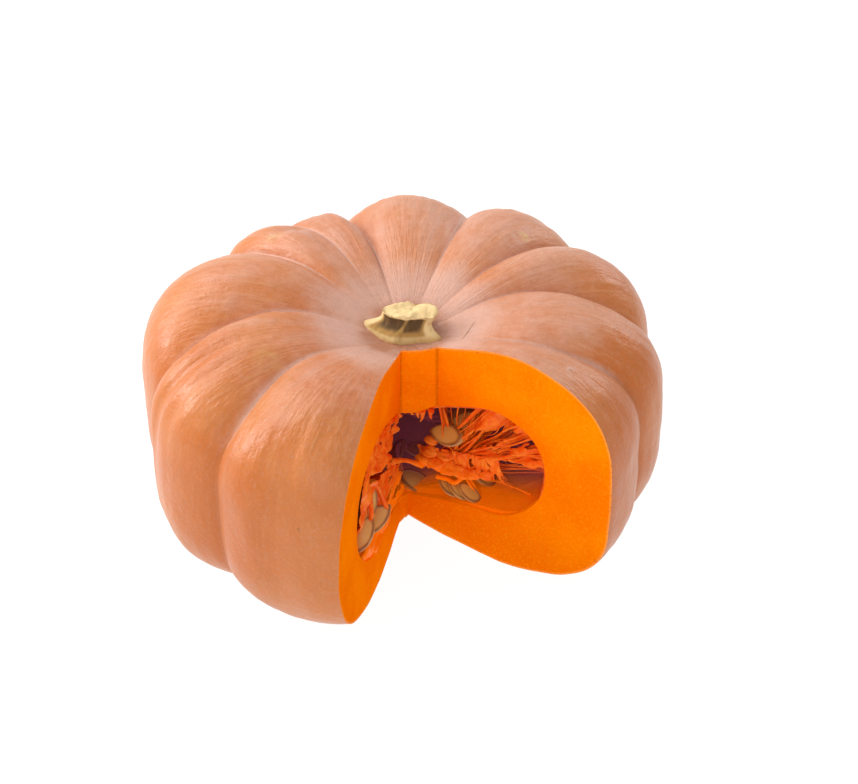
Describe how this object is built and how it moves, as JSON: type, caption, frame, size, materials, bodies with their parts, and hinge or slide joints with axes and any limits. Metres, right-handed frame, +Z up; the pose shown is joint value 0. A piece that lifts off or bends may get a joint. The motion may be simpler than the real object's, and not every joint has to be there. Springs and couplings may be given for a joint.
{
  "type": "ribbed winter squash with a wedge cut out",
  "caption": "Flattened, deeply ribbed tan winter squash with a corky stem stub, standing on its base with a wedge cut out to show orange flesh, stringy pulp and flat seeds.",
  "frame": {"origin": "middle of the bounding box on the surface the squash stands on", "axes": "+Z up along the stem axis, -Y towards the cut-out wedge, +X to the right of someone who looks into the wedge"},
  "size_m": [0.2426, 0.2366, 0.1245],
  "materials": {
    "rind_and_flesh": "waxy tan rind with a pale bloom, moist orange flesh on the cuts",
    "stem_cork": "dry cork",
    "pulp": "wet and stringy",
    "seed_coat": "satin, papery"
  },
  "bodies": {
    "root": {"fruit": "rind_and_flesh", "stem": "stem_cork", "pulp": "pulp", "seeds_left": "seed_coat", "seeds_right": "seed_coat", "seeds_floor": "seed_coat", "seeds_middle": "seed_coat", "seeds_far_a": "seed_coat", "seeds_far_b": "seed_coat", "seeds_far_c": "seed_coat"}
  },
  "joints": []
}
